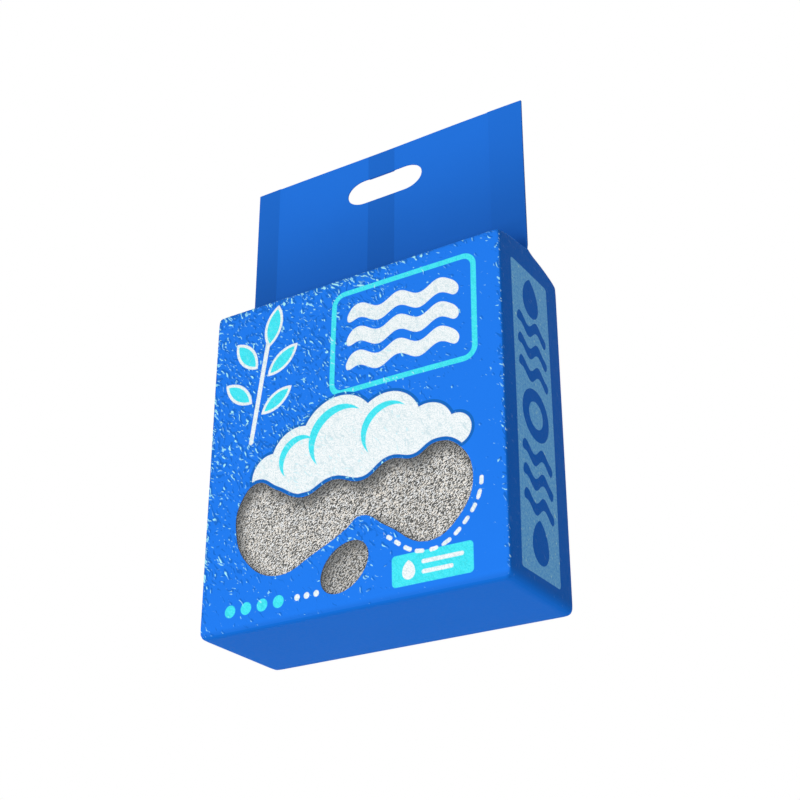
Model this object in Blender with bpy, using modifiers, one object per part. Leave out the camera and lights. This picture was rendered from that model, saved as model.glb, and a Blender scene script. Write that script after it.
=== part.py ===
"""Cat litter bag: a filled film brick with a low gable, a flat carrying sheet and two clear windows.

Metres, +Z up. The origin is on the ground, at the middle of the bag's width and depth.
The front panel faces -Y.
"""

import math

import bmesh
import bpy
from mathutils import Vector

# Filled body, as the panels' flat sizes before they bulge
BODY_WIDTH = 0.250
BODY_DEPTH = 0.0915
FRONT_HEIGHT = 0.262
BACK_BELOW_FRONT = 0.0024
RIDGE_ABOVE_FRONT = 0.0067
SHOULDER_RISE = 0.0015
FRONT_BULGE = 0.0024
SIDE_BULGE = 0.0012

# Rounding of each fold of the body, by the two panels that meet there
EDGE_RADII = {
    ("front", "side"): 0.004,
    ("back", "side"): 0.002,
    ("bottom", "front"): 0.006,
    ("bottom", "side"): 0.006,
    ("back", "bottom"): 0.002,
    ("front", "top"): 0.003,
    ("back", "top"): 0.002,
    ("side", "top"): 0.002,
}

# Film, its layers and the fit of what touches it
FILM_THICKNESS = 0.0004
CLEARANCE = 0.0003
FILL_BELOW_EAVES = 0.0096

# Lap seam that closes the film tube, up the back panel and the carrying sheet
SEAM_WIDTH = 0.025
SEAM_FROM_MIDDLE = -0.003
SEAM_LAYERS = 2

# Carrying sheet: the flattened top of the tube, with both side folds pressed inside it
SHEET_ABOVE_RIDGE = 0.1353
SHEET_ROOT = 0.003
SHEET_HALF_LAYERS = 1
FOLD_HALF_LAYERS = 2
LEFT_FOLD_WIDTH = 0.0215
RIGHT_FOLD_WIDTH = 0.029
HAND_HOLE_LENGTH = 0.070
HAND_HOLE_HEIGHT = 0.0227
HAND_HOLE_FROM_TOP = 0.0216

# Large clear window: two lobes that meet at a neck, held by its margins on the front panel
LARGE_WINDOW_LEFT_MARGIN = 0.0287
LARGE_WINDOW_RIGHT_MARGIN = 0.0248
LARGE_WINDOW_BOTTOM = 0.035
LARGE_WINDOW_HEIGHT = 0.075

# Small clear window: a tilted oval below the neck of the large one
SMALL_WINDOW_LENGTH = 0.0432
SMALL_WINDOW_WIDTH = 0.0311
SMALL_WINDOW_TILT = math.radians(37)
SMALL_WINDOW_LEFT_OF_NECK = 0.0128
SMALL_WINDOW_BELOW_NECK = 0.0345

# Fineness of the mesh
WIDTH_DIVISIONS = 8
DEPTH_DIVISIONS = 6
HEIGHT_DIVISIONS = 8
FOLD_SEGMENTS = 3
OUTLINE_STEPS = 6
OVAL_POINTS = 40
CUT_REACH = 0.010

BACK_HEIGHT = FRONT_HEIGHT - BACK_BELOW_FRONT
RIDGE_HEIGHT = FRONT_HEIGHT + RIDGE_ABOVE_FRONT
FILL_HEIGHT = BACK_HEIGHT - FILL_BELOW_EAVES
SHEET_TOP = RIDGE_HEIGHT + SHEET_ABOVE_RIDGE
SEAM_THICKNESS = SEAM_LAYERS * FILM_THICKNESS
# The seam stands out at the back by what the front bulges more, which keeps the bag centred.
BACK_BULGE = FRONT_BULGE - SEAM_THICKNESS

# Large window's outline, as shares of its width and height: left lobe, neck, right lobe, wavy top
NECK_SHARES = (0.55, 0.40)
LEFT_LOBE_SHARES = ((0.02, 0.85), (0.00, 0.57), (0.06, 0.19), (0.20, 0.00), (0.36, 0.14), (0.49, 0.30))
RIGHT_LOBE_SHARES = ((0.66, 0.24), (0.82, 0.01), (0.94, 0.17), (1.00, 0.55), (0.94, 0.88), (0.86, 0.95))
WAVY_TOP_SHARES = (
    (0.77, 0.85),
    (0.67, 0.89),
    (0.56, 0.75),
    (0.43, 0.83),
    (0.30, 0.73),
    (0.18, 0.88),
    (0.09, 1.00),
)


def clear_scene():
    for item in list(bpy.data.objects):
        bpy.data.objects.remove(item)


def make_collection(name):
    collection = bpy.data.collections.new(name)
    bpy.context.scene.collection.children.link(collection)
    return collection


def make_material(name, colour, roughness, transmission=0.0):
    material = bpy.data.materials.new(name)
    material.use_nodes = True
    shader = material.node_tree.nodes["Principled BSDF"]
    shader.inputs["Base Color"].default_value = (*colour, 1.0)
    shader.inputs["Roughness"].default_value = roughness
    shader.inputs["Metallic"].default_value = 0.0
    shader.inputs["Transmission Weight"].default_value = transmission
    material.diffuse_color = (*colour, 1.0)
    return material


def hide_as_cutter(item, cutters):
    """A cutter, or a piece that is joined into another, shows as wire and doesn't render."""
    cutters.objects.link(item)
    item.hide_render = True
    item.display_type = "WIRE"
    return item


def add_boolean(item, operation, other):
    modifier = item.modifiers.new(f"{operation.lower()} {other.name}", "BOOLEAN")
    modifier.operation = operation
    modifier.solver = "EXACT"
    modifier.object = other


def roof_height(across):
    """Height of the gable at a share of the half depth, from -1 at the front to 1 at the back."""
    eave = FRONT_HEIGHT if across < 0 else BACK_HEIGHT
    climb = 1 - abs(across)
    return eave + (RIDGE_HEIGHT - eave) * climb + SHOULDER_RISE * math.sin(math.pi * climb)


def soft_place(share, inset, top_of):
    """Moves a point of the unit cube's skin to the soft body's skin, set in by inset."""
    across_width, across_depth, climb = 2 * share.x, 2 * share.y, share.z + 0.5
    over_height = 4 * climb * (1 - climb)
    side_bulge = SIDE_BULGE * (1 - across_depth**2) * over_height
    face_bulge = FRONT_BULGE if across_depth < 0 else BACK_BULGE
    face_bulge *= (1 - across_width**2) * over_height
    top = top_of(across_depth)
    return Vector((
        across_width * (BODY_WIDTH / 2 - inset + side_bulge),
        across_depth * (BODY_DEPTH / 2 - inset + face_bulge),
        inset + climb * (top - inset),
    ))


def panels_at(share):
    """Names of the cube's sides that a point of its skin lies on."""
    sides = set()
    if abs(share.x) > 0.499:
        sides.add("side")
    if abs(share.y) > 0.499:
        sides.add("front" if share.y < 0 else "back")
    if abs(share.z) > 0.499:
        sides.add("bottom" if share.z < 0 else "top")
    return sides


def soft_brick(name, inset, top_of):
    """One closed soft brick: a divided cube, shaped to bulging panels, with its folds rounded."""
    largest = max(EDGE_RADII.values())
    brick = bmesh.new()
    bmesh.ops.create_cube(brick, size=1.0)
    for axis, divisions in enumerate((WIDTH_DIVISIONS, DEPTH_DIVISIONS, HEIGHT_DIVISIONS)):
        normal = Vector((0, 0, 0))
        normal[axis] = 1
        for step in range(1, divisions):
            everything = brick.verts[:] + brick.edges[:] + brick.faces[:]
            place = normal * (step / divisions - 0.5)
            bmesh.ops.bisect_plane(brick, geom=everything, plane_co=place, plane_no=normal)
    weights = brick.edges.layers.float.new("bevel_weight_edge")
    for edge in brick.edges:
        shared = panels_at(edge.verts[0].co) & panels_at(edge.verts[1].co)
        radius = EDGE_RADII.get(tuple(sorted(shared)), 0)
        edge[weights] = max(radius - inset, 0) / largest
    for corner in brick.verts:
        corner.co = soft_place(corner.co, inset, top_of)
    mesh = bpy.data.meshes.new(name)
    brick.to_mesh(mesh)
    brick.free()
    item = bpy.data.objects.new(name, mesh)
    folds = item.modifiers.new("rounded folds", "BEVEL")
    folds.limit_method = "WEIGHT"
    folds.width = largest
    folds.segments = FOLD_SEGMENTS
    return item


def film_shell(name, stand_out=0.0, depth=FILM_THICKNESS):
    """The body's film as a hollow shell, its outer skin moved out by stand_out."""
    shell = soft_brick(name, -stand_out, lambda across: roof_height(across) + stand_out)
    film = shell.modifiers.new("film thickness", "SOLIDIFY")
    film.thickness = depth
    film.offset = -1.0
    film.use_even_offset = True
    return shell


def outline_solid(name, spline_maker, length, location, rotation, grow=0.0):
    """Extrudes a flat closed outline to a solid of the given length, grown outward by grow."""
    curve = bpy.data.curves.new(name, "CURVE")
    curve.dimensions = "2D"
    curve.fill_mode = "BOTH"
    curve.extrude = length / 2
    curve.offset = grow
    spline_maker(curve)
    flat = bpy.data.objects.new(f"{name} outline", curve)
    bpy.context.scene.collection.objects.link(flat)
    flat.location = location
    flat.rotation_euler = rotation
    bpy.context.view_layer.update()
    mesh = bpy.data.meshes.new_from_object(flat.evaluated_get(bpy.context.evaluated_depsgraph_get()))
    mesh.name = name
    welded = bmesh.new()
    welded.from_mesh(mesh)
    bmesh.ops.remove_doubles(welded, verts=welded.verts[:], dist=1e-6)
    bmesh.ops.recalc_face_normals(welded, faces=welded.faces[:])
    welded.to_mesh(mesh)
    welded.free()
    solid = bpy.data.objects.new(name, mesh)
    solid.matrix_world = flat.matrix_world
    bpy.data.objects.remove(flat)
    return solid


def add_corners(curve, corners):
    """Adds a closed outline of straight runs."""
    spline = curve.splines.new("POLY")
    spline.points.add(len(corners) - 1)
    for point, (x, y) in zip(spline.points, corners):
        point.co = (x, y, 0, 1)
    spline.use_cyclic_u = True


def add_smooth_points(curve, places):
    """Adds a closed outline that runs smoothly through its points."""
    spline = curve.splines.new("BEZIER")
    spline.bezier_points.add(len(places) - 1)
    for point, (x, y) in zip(spline.bezier_points, places):
        point.co = (x, y, 0)
        point.handle_left_type = "AUTO"
        point.handle_right_type = "AUTO"
    spline.use_cyclic_u = True
    spline.resolution_u = OUTLINE_STEPS


def large_window_place(share):
    """A point of the large window's outline on the front panel, from the bag's middle and foot."""
    width = BODY_WIDTH - LARGE_WINDOW_LEFT_MARGIN - LARGE_WINDOW_RIGHT_MARGIN
    return (
        -BODY_WIDTH / 2 + LARGE_WINDOW_LEFT_MARGIN + share[0] * width,
        LARGE_WINDOW_BOTTOM + share[1] * LARGE_WINDOW_HEIGHT,
    )


def large_window_outline(curve):
    shape = (*LEFT_LOBE_SHARES, NECK_SHARES, *RIGHT_LOBE_SHARES, *WAVY_TOP_SHARES)
    add_smooth_points(curve, [large_window_place(share) for share in shape])


def small_window_outline(curve):
    neck = large_window_place(NECK_SHARES)
    middle = Vector((neck[0] - SMALL_WINDOW_LEFT_OF_NECK, neck[1] - SMALL_WINDOW_BELOW_NECK))
    places = []
    for step in range(OVAL_POINTS):
        turn = 2 * math.pi * step / OVAL_POINTS
        along = SMALL_WINDOW_LENGTH / 2 * math.cos(turn)
        aside = SMALL_WINDOW_WIDTH / 2 * math.sin(turn)
        places.append((
            middle.x + along * math.cos(SMALL_WINDOW_TILT) - aside * math.sin(SMALL_WINDOW_TILT),
            middle.y + along * math.sin(SMALL_WINDOW_TILT) + aside * math.cos(SMALL_WINDOW_TILT),
        ))
    add_corners(curve, places)


def hand_hole_outline(curve):
    radius = HAND_HOLE_HEIGHT / 2
    straight = HAND_HOLE_LENGTH / 2 - radius
    half = OVAL_POINTS // 2
    corners = []
    for end in (1, -1):
        for step in range(half + 1):
            turn = -math.pi / 2 + math.pi * step / half
            corners.append((end * (straight + radius * math.cos(turn)), end * radius * math.sin(turn)))
    add_corners(curve, corners)


def sheet_section(curve):
    """Section of the carrying sheet across its width: thin panels between the thicker bands."""
    thin = SHEET_HALF_LAYERS * FILM_THICKNESS
    thick = FOLD_HALF_LAYERS * FILM_THICKNESS
    left, right = -BODY_WIDTH / 2, BODY_WIDTH / 2
    seam_left = SEAM_FROM_MIDDLE - SEAM_WIDTH / 2
    seam_right = SEAM_FROM_MIDDLE + SEAM_WIDTH / 2
    inner_left, inner_right = left + LEFT_FOLD_WIDTH, right - RIGHT_FOLD_WIDTH
    front = [(left, -thick), (inner_left, -thick), (inner_left, -thin)]
    front += [(inner_right, -thin), (inner_right, -thick), (right, -thick)]
    back = [(right, thick), (inner_right, thick), (inner_right, thin)]
    back += [(seam_right, thin), (seam_right, thin + SEAM_THICKNESS)]
    back += [(seam_left, thin + SEAM_THICKNESS), (seam_left, thin)]
    back += [(inner_left, thin), (inner_left, thick), (left, thick)]
    add_corners(curve, front + back)


def window_solid(name, outline, grow):
    """A straight plug through the front panel in a window's outline."""
    facing = (math.pi / 2, 0, 0)
    place = (0, -BODY_DEPTH / 2, 0)
    return outline_solid(name, outline, 2 * CUT_REACH, place, facing, grow)


def make_carrying_sheet():
    """The flat sheet above the ridge, rooted a little below it."""
    bottom = RIDGE_HEIGHT - SHEET_ROOT
    middle = (0, 0, (SHEET_TOP + bottom) / 2)
    return outline_solid("carrying_sheet", sheet_section, SHEET_TOP - bottom, middle, (0, 0, 0))


def make_hand_hole():
    middle = (0, 0, SHEET_TOP - HAND_HOLE_FROM_TOP - HAND_HOLE_HEIGHT / 2)
    return outline_solid("hand_hole", hand_hole_outline, 2 * CUT_REACH, middle, (math.pi / 2, 0, 0))


def make_back_seam(cutters):
    """The lap seam up the back panel and over the back slope of the gable."""
    seam = film_shell("back_seam", SEAM_THICKNESS, SEAM_THICKNESS + FILM_THICKNESS / 2)
    foot = EDGE_RADII[("back", "bottom")]
    head = RIDGE_HEIGHT + CUT_REACH
    strip = bpy.data.meshes.new("seam_strip")
    block = bmesh.new()
    bmesh.ops.create_cube(block, size=1.0)
    bmesh.ops.scale(block, vec=(SEAM_WIDTH, BODY_DEPTH, head - foot), verts=block.verts[:])
    middle = (SEAM_FROM_MIDDLE, BODY_DEPTH / 2, (head + foot) / 2)
    bmesh.ops.translate(block, vec=middle, verts=block.verts[:])
    block.to_mesh(strip)
    block.free()
    limits = hide_as_cutter(bpy.data.objects.new("seam_strip", strip), cutters)
    hide_as_cutter(seam, cutters)
    add_boolean(seam, "INTERSECT", limits)
    return seam


def make_film_bag(parts, cutters):
    """The one printed film: body shell with its window openings, back seam and carrying sheet."""
    bag = film_shell("film_bag")
    parts.objects.link(bag)
    for name, outline in WINDOWS.items():
        opening = hide_as_cutter(window_solid(f"{name}_opening", outline, 0.0), cutters)
        add_boolean(bag, "DIFFERENCE", opening)
    add_boolean(bag, "UNION", hide_as_cutter(make_carrying_sheet(), cutters))
    add_boolean(bag, "UNION", make_back_seam(cutters))
    add_boolean(bag, "DIFFERENCE", hide_as_cutter(make_hand_hole(), cutters))
    bag.data.materials.append(make_material("printed blue film", (0.02, 0.20, 0.87), 0.45))


def make_window_film(name, outline, parts, cutters):
    """A clear stretch of the same film, which fills its opening up to the clearance."""
    pane = film_shell(name)
    parts.objects.link(pane)
    plug = hide_as_cutter(window_solid(f"{name}_plug", outline, -CLEARANCE), cutters)
    add_boolean(pane, "INTERSECT", plug)
    pane.data.materials.append(make_material(f"{name} clear film", (0.85, 0.90, 0.95), 0.12, 0.9))


def make_litter_fill(parts):
    """The granules as one settled block, which fills the film up to the fill line."""
    inset = FILM_THICKNESS + CLEARANCE
    fill = soft_brick("litter_fill", inset, lambda across: FILL_HEIGHT)
    parts.objects.link(fill)
    fill.data.materials.append(make_material("grey granules", (0.48, 0.46, 0.43), 0.95))


WINDOWS = {
    "window_film_large": large_window_outline,
    "window_film_small": small_window_outline,
}


def main():
    clear_scene()
    parts = make_collection("cat litter bag")
    cutters = make_collection("cutters")
    make_film_bag(parts, cutters)
    for name, outline in WINDOWS.items():
        make_window_film(name, outline, parts, cutters)
    make_litter_fill(parts)


main()
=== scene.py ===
import math
import random

import bmesh
import bpy
import numpy as np
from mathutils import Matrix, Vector, noise


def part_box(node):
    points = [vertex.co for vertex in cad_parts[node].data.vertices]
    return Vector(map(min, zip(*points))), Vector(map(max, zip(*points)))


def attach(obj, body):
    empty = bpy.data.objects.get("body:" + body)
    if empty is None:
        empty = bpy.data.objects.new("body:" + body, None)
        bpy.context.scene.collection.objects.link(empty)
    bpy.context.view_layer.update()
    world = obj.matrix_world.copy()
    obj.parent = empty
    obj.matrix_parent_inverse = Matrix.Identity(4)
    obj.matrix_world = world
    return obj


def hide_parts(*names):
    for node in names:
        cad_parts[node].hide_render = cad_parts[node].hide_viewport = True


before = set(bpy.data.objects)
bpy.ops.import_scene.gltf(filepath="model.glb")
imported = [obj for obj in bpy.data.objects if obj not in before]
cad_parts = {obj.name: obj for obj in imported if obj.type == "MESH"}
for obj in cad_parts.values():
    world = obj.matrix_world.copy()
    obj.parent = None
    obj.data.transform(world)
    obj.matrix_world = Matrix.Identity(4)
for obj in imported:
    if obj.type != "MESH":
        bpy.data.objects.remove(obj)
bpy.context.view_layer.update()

bl_info = {
    "name": "Cat litter bag",
    "version": (1, 0, 0),
    "blender": (4, 5, 0),
    "location": "3D View > Sidebar > Litter Bag",
    "description": "Makes a filled film bag of cat litter with two clear windows and a carrying sheet",
    "category": "Object",
}

# Body, as the panels' flat sizes before they bulge
BODY_WIDTH = 0.250
BODY_DEPTH = 0.0915
FRONT_HEIGHT = 0.262
BACK_HEIGHT = 0.2596
RIDGE_HEIGHT = 0.2687
SHOULDER_RISE = 0.0015
SIDE_BULGE = 0.0012
FRONT_BULGE = 0.0024
BACK_BULGE = 0.0016
BODY_CELLS = (18, 8, 19)
HALF_WIDTH = BODY_WIDTH / 2
HALF_DEPTH = BODY_DEPTH / 2

# Creases lie in their panels, and are deeper in the slack back and left panel
SLACK_PANELS = 4
ON_FLANK = 0.96
ON_FACE = 0.9
SOFT_CREASES = 14.0
FINE_CREASES = Vector((34, 34, 20))

# Where three folds meet, and where the side's top fold runs into the sheet's edge
CORNER_TUCK = 0.0004
CORNER_REACH = 0.010
RIDGE_END_DRAW = 0.88
RIDGE_END_REACH = 0.012

# Rounding of each fold, by the two panels that meet there
FOLD_RADII = {
    ("front", "left"): 0.002, ("front", "right"): 0.002,
    ("back", "left"): 0.002, ("back", "right"): 0.002,
    ("bottom", "front"): 0.005, ("back", "bottom"): 0.0015,
    ("bottom", "left"): 0.003, ("bottom", "right"): 0.006,
    ("front", "top"): 0.0025, ("back", "top"): 0.002,
    ("left", "top"): 0.003, ("right", "top"): 0.003,
}

# Film, carrying sheet, lap seam and hand hole
FILM = 0.0004
SHEET_TOP = 0.404
SHEET_ROOT = 0.003
SHEET_ROOT_INSET = 0.0020
SHEET_WAVE = 0.0011
SHEET_CELLS = (36, 20)
LEFT_FOLD_WIDTH = 0.0215
RIGHT_FOLD_WIDTH = 0.029
SEAM_LEFT = -0.0155
SEAM_RIGHT = 0.0095
SEAM_FOOT = 0.002
LAYER_STEP = 0.0012
HAND_HOLE_MIDDLE = 0.37105
HAND_HOLE_LENGTH = 0.070
HAND_HOLE_HEIGHT = 0.0222
HAND_HOLE_END = 0.0160
HAND_HOLE_END_STEPS = 24

# Large window's outline on the front panel, as x and height
LARGE_WINDOW = (
    (-0.09237, 0.09875), (-0.09630, 0.07775), (-0.08451, 0.04925), (-0.05700, 0.03500),
    (-0.02556, 0.04550), (-0.00002, 0.05750), (0.01178, 0.06500), (0.03339, 0.05300),
    (0.06483, 0.03575), (0.08841, 0.04775), (0.10020, 0.07625), (0.08841, 0.10100),
    (0.07269, 0.10625), (0.05501, 0.09875), (0.03536, 0.10175), (0.01374, 0.09125),
    (-0.01180, 0.09725), (-0.03735, 0.08975), (-0.06093, 0.10100), (-0.07861, 0.11000),
)
SMALL_WINDOW_MIDDLE = (-0.00102, 0.0305)
SMALL_WINDOW_LENGTH = 0.0432
SMALL_WINDOW_WIDTH = 0.0311
SMALL_WINDOW_TILT = math.radians(37)
OUTLINE_STEPS = 6
OVAL_POINTS = 48
WINDOW_SIDE = -0.04
CUT_REACH = 0.010
CLOSE = 1e-5
FAR = 0.3

# Where the front's and the side's film begin, and the sheet's above and round its root
FRONT_FILM_FROM = -0.0435
SIDE_FILM_FROM = 0.1225
SHEET_FILM_ABOVE_RIDGE = 0.0005
ROOT_FILM_DEPTH = 0.002
ROOT_FILM_BELOW_RIDGE = 0.004

# Front print in millimetres, as x, height and sizes. A panel has half sizes and a corner radius, a leaf
# its length, width and slant in degrees. Beads have a half pitch, a radius, a middle and a half row.
CLOUD_BAND = (3, 106, 77, 13, 11)
CLOUD_DISCS = ((-66, 113, 17), (-42, 122, 24), (-8, 130, 32), (33, 126, 28), (66, 117, 20), (88, 112, 12))
CLOUD_CURLS = (
    ((-8, 130, 25), (-2, 124, 26)),
    ((33, 126, 21), (38, 121, 22)),
    ((-42, 122, 17), (-37, 117, 18)),
)
CLOUD_OFF_WINDOW = 2.6
CLOUD_EDGE = 2.4
FRAME = (45, 205.5, 59, 41.5, 9)
FRAME_LINE = 4.3
STEM = (-80, 186, 2.0, 44, 2.0, math.radians(-8))
LEAF_EDGE = 2.3
LEAVES = (
    (-70, 239, 36, 16, 78),
    (-94, 219, 34, 15, 128),
    (-60, 207, 34, 15, 38),
    (-100, 188, 34, 14, 140),
    (-64, 174, 32, 14, 32),
)
BADGE = (68, 19, 31, 11, 3)
BADGE_DROP = (50, 17, 5)
BADGE_BARS = ((76, 22.5, 16, 1.5, 1.5), (72, 15.5, 12, 1.5, 1.5))
BEAD_HEIGHT = 16
CYAN_BEADS = (7.0, 4.6, -77, 28)
WHITE_BEADS = (4.0, 2.3, -32, 12)
STITCH = (0, 6.4, 2.9, 1.5, 1.4)
STITCH_HALF_PITCH = 4.2
STITCHED_FROM = 31.0
STITCHED = (71, 44, 46, 30, 2)

# Side print in millimetres, as depth, height and sizes, and the painted shade on the film beside it
SIDE_PANE = (-1, 129.75, 27.75, 117.25, 2.5)
SIDE_DROPS = ((-1, 221, 12), (-1, 33, 12))
SIDE_RING = (-1, 131, 15)
SIDE_RING_LINE = 9.5
SIDE_PAINTED_SHADE = 0.75

# Wavy bars: radians per millimetre, swing, middle, half length and height, half pitch, half stack
FRONT_WAVES = (0.185, 3.4, 45, 205.5, 47, 6.2, 10.0, 30.0)
UPPER_SIDE_WAVES = (0.25, 3.6, -1, 181.5, 22, 4.4, 9.0, 24.0)
LOWER_SIDE_WAVES = (0.25, 3.6, -1, 81.0, 22, 4.4, 9.0, 24.0)

# Painted glint strokes, as their slant and their length and width in millimetres
LONG_GLINT = (math.radians(57), 6.5, 2.2)
FINE_GLINT = (math.radians(36), 4.2, 1.7)
SIDE_GLINT = (math.radians(50), 4.0, 1.8)

# Litter: the settled bed, and grains that lie at a slant, in three kinds of tone
BED_LIFT = 0.002
BED_INSET = (0.009, 0.0075, 0.004)
BED_CELLS = (40, 14, 40)
BED_ROUNDING = 0.006
BED_BUMPS = 220
BED_BUMP_HEIGHT = 0.0006
GRAIN_SLANT = math.radians(33)
GRAIN_ALONG = 1.42
GRAIN_ACROSS = 0.74
GRAIN_KINDS = 4
GRAIN_SIZES = (0.72, 1.18)
GRAIN_PITCH = 0.86
GRAIN_STRAY = 0.3
GRAIN_ROW = 0.866
GRAIN_MARGIN = 0.004
GRAIN_OVERLAP = 0.003
GRAIN_GAP = 0.00015
GRAIN_SCATTER = 0.0012
GRAIN_TONES = ((0.94, 1.2), (0.58, 0.88), (0.0, 0.38))
GRAIN_SHARES = (0.62, 0.21, 0.17)

# Least and most painted light on the litter behind each window, and where the painted rim shade falls
LARGE_LIGHT = (0.2, 1.0)
SMALL_LIGHT = (0.23, 0.76)
RIM_SHIFT = (-0.004, 0.005)
RIM_START = 0.005
RIM_FADE = 0.015

# Stage: the key lamp meets the front at a slant, and the camera stands as it did for the photo
BAG_MIDDLE = Vector((0, 0, 0.19))
FLOOR_SIZE = 6.0
FLOOR_HEIGHT = -0.0004
KEY_LAMP_SLANT = 1.13
CAMERA_PLACE = (0.5361, -0.8423, -0.3253)
CAMERA_TILT = math.radians(90 + 26.715)
CAMERA_TURN = math.radians(31.76)
CAMERA_LENS = 67.35

COLOUR = {"subtype": "COLOR", "size": 3, "min": 0, "max": 1}
LENGTH = {"subtype": "DISTANCE", "unit": "LENGTH"}


class LitterBagLooks(bpy.types.PropertyGroup):
    """Colours, sizes and light that a user would change"""

    film_blue: bpy.props.FloatVectorProperty(
        name="Film blue", description="Ink of the front and the carrying sheet",
        default=(0.0165, 0.203, 0.875), **COLOUR)
    shaded_blue: bpy.props.FloatVectorProperty(
        name="Shaded blue", description="Film colour of the bottom, the back and the sides",
        default=(0.009, 0.192, 0.84), **COLOUR)
    white_ink: bpy.props.FloatVectorProperty(
        name="White ink", description="White print", default=(0.96, 0.99, 1.0), **COLOUR)
    cyan_ink: bpy.props.FloatVectorProperty(
        name="Cyan ink", description="Light blue print on the front", default=(0.045, 0.79, 0.92), **COLOUR)
    band_ink: bpy.props.FloatVectorProperty(
        name="Side panel ink", description="Pale blue print on the side",
        default=(0.10, 0.41, 0.91), **COLOUR)
    crease_depth: bpy.props.FloatProperty(
        name="Crease depth", description="How far the soft creases go in",
        default=0.0003, min=0, max=0.002, **LENGTH)
    grain_size: bpy.props.FloatProperty(
        name="Grain size", description="Middle size of a litter grain",
        default=0.00137, min=0.0008, max=0.004, **LENGTH)
    key_light: bpy.props.FloatProperty(
        name="Key light", description="Share of the front panel's light from the key lamp",
        default=0.67, min=0, max=2)
    room_light: bpy.props.FloatProperty(
        name="Room light", description="Light from all around", default=0.33, min=0, max=1)


def select_only(*items):
    bpy.ops.object.select_all(action="DESELECT")
    for item in items:
        item.select_set(True)
    bpy.context.view_layer.objects.active = items[0]


def add_object(name, data):
    """Puts a mesh, a curve, a lamp or a camera into the scene."""
    item = bpy.data.objects.new(name, data)
    bpy.context.scene.collection.objects.link(item)
    return item


def copy_of(item, name):
    return add_object(name, item.data.copy())


def add_cube(name, middle, size):
    bpy.ops.object.select_all(action="DESELECT")
    bpy.ops.mesh.primitive_cube_add(size=1.0, location=middle)
    item = bpy.context.object
    item.name = name
    item.scale = size
    select_only(item)
    bpy.ops.object.transform_apply(location=True, rotation=True, scale=True)
    return item


def divide(item, axis, places):
    """Cuts a mesh across one axis at each place."""
    select_only(item)
    bpy.ops.object.mode_set(mode="EDIT")
    for place in places:
        at, across = [0, 0, 0], [0, 0, 0]
        at[axis], across[axis] = place, 1
        bpy.ops.mesh.select_all(action="SELECT")
        bpy.ops.mesh.bisect(plane_co=at, plane_no=across)
    bpy.ops.object.mode_set(mode="OBJECT")


def spread(low, high, count):
    """Places that divide a run evenly, without its ends."""
    return [low + (high - low) * step / count for step in range(1, count)]


def add_divided_block(name, middle, size, counts):
    """A block that is divided evenly along each axis."""
    item = add_cube(name, middle, size)
    for axis, count in enumerate(counts):
        half = size[axis] / 2
        divide(item, axis, spread(middle[axis] - half, middle[axis] + half, count))
    return item


def finish_with(item, kind, **settings):
    """Adds one modifier and applies it."""
    modifier = item.modifiers.new(kind.lower(), kind)
    for key, value in settings.items():
        setattr(modifier, key, value)
    select_only(item)
    bpy.ops.object.modifier_apply(modifier=modifier.name)


def cut_with(item, operation, cutter):
    finish_with(item, "BOOLEAN", operation=operation, solver="EXACT", object=cutter)
    bpy.data.objects.remove(cutter)


def change_faces(item, picked, change):
    """Selects the faces that a test picks, and changes them in edit mode."""
    select_only(item)
    bpy.ops.object.mode_set(mode="EDIT")
    bpy.ops.mesh.select_mode(type="FACE")
    bpy.ops.mesh.select_all(action="DESELECT")
    net = bmesh.from_edit_mesh(item.data)
    for face in net.faces:
        face.select = picked(face)
    bmesh.update_edit_mesh(item.data)
    change()
    bpy.ops.object.mode_set(mode="OBJECT")


def delete_faces(item, unwanted):
    """Deletes the faces whose middle the test picks."""
    change_faces(
        item,
        lambda face: unwanted(face.calc_center_median()),
        lambda: bpy.ops.mesh.delete(type="FACE"),
    )


def refine(item):
    """Splits faces of many sides into triangles, then divides every face by four, twice."""
    change_faces(
        item,
        lambda face: len(face.verts) > 4,
        lambda: bpy.ops.mesh.quads_convert_to_tris(quad_method="BEAUTY", ngon_method="BEAUTY"),
    )
    finish_with(item, "SUBSURF", subdivision_type="SIMPLE", levels=2, render_levels=2)


def smooth_by_angle(item, degrees):
    select_only(item)
    bpy.ops.object.shade_smooth_by_angle(angle=math.radians(degrees))


def keep_values(mesh, name, values):
    """Keeps one number for each corner of a mesh, for its material."""
    kept = mesh.attributes.new(name, "FLOAT", "POINT")
    kept.data.foreach_set("value", np.asarray(values, np.float32))


def roof_height(across):
    """Height of the gable at a share of the half depth, from -1 at the front to 1 at the back."""
    eave = FRONT_HEIGHT if across < 0 else BACK_HEIGHT
    climb = 1 - abs(across)
    return eave + (RIDGE_HEIGHT - eave) * climb + SHOULDER_RISE * math.sin(math.pi * climb)


def crease(point, depth):
    """How far the film lies in at a point: soft, shallow, and only inward."""
    soft = noise.noise(point * SOFT_CREASES)
    fine = noise.noise(Vector((
        point.x * FINE_CREASES.x,
        point.y * FINE_CREASES.y,
        point.z * FINE_CREASES.z + 5,
    )))
    return depth * max(0.0, 0.6 * soft + 0.4 * fine + 0.2)


def corner_tuck(point):
    """How far the film draws in at the eight corners, where three folds meet."""
    away = Vector((
        HALF_WIDTH - abs(point.x),
        HALF_DEPTH - abs(point.y),
        min(point.z, FRONT_HEIGHT - point.z),
    ))
    return CORNER_TUCK * max(0.0, 1 - away.length / CORNER_REACH) ** 2


def tight_end(point):
    """How much the side's top fold tightens at the ridge, where it runs into the carrying sheet's edge."""
    beside, below = HALF_WIDTH - abs(point.x), FRONT_HEIGHT - point.z
    if max(beside, below) > FOLD_RADII["left", "top"] + 1e-4:
        return 0.0
    return RIDGE_END_DRAW * max(0.0, 1 - abs(point.y) / RIDGE_END_REACH) ** 2


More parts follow.
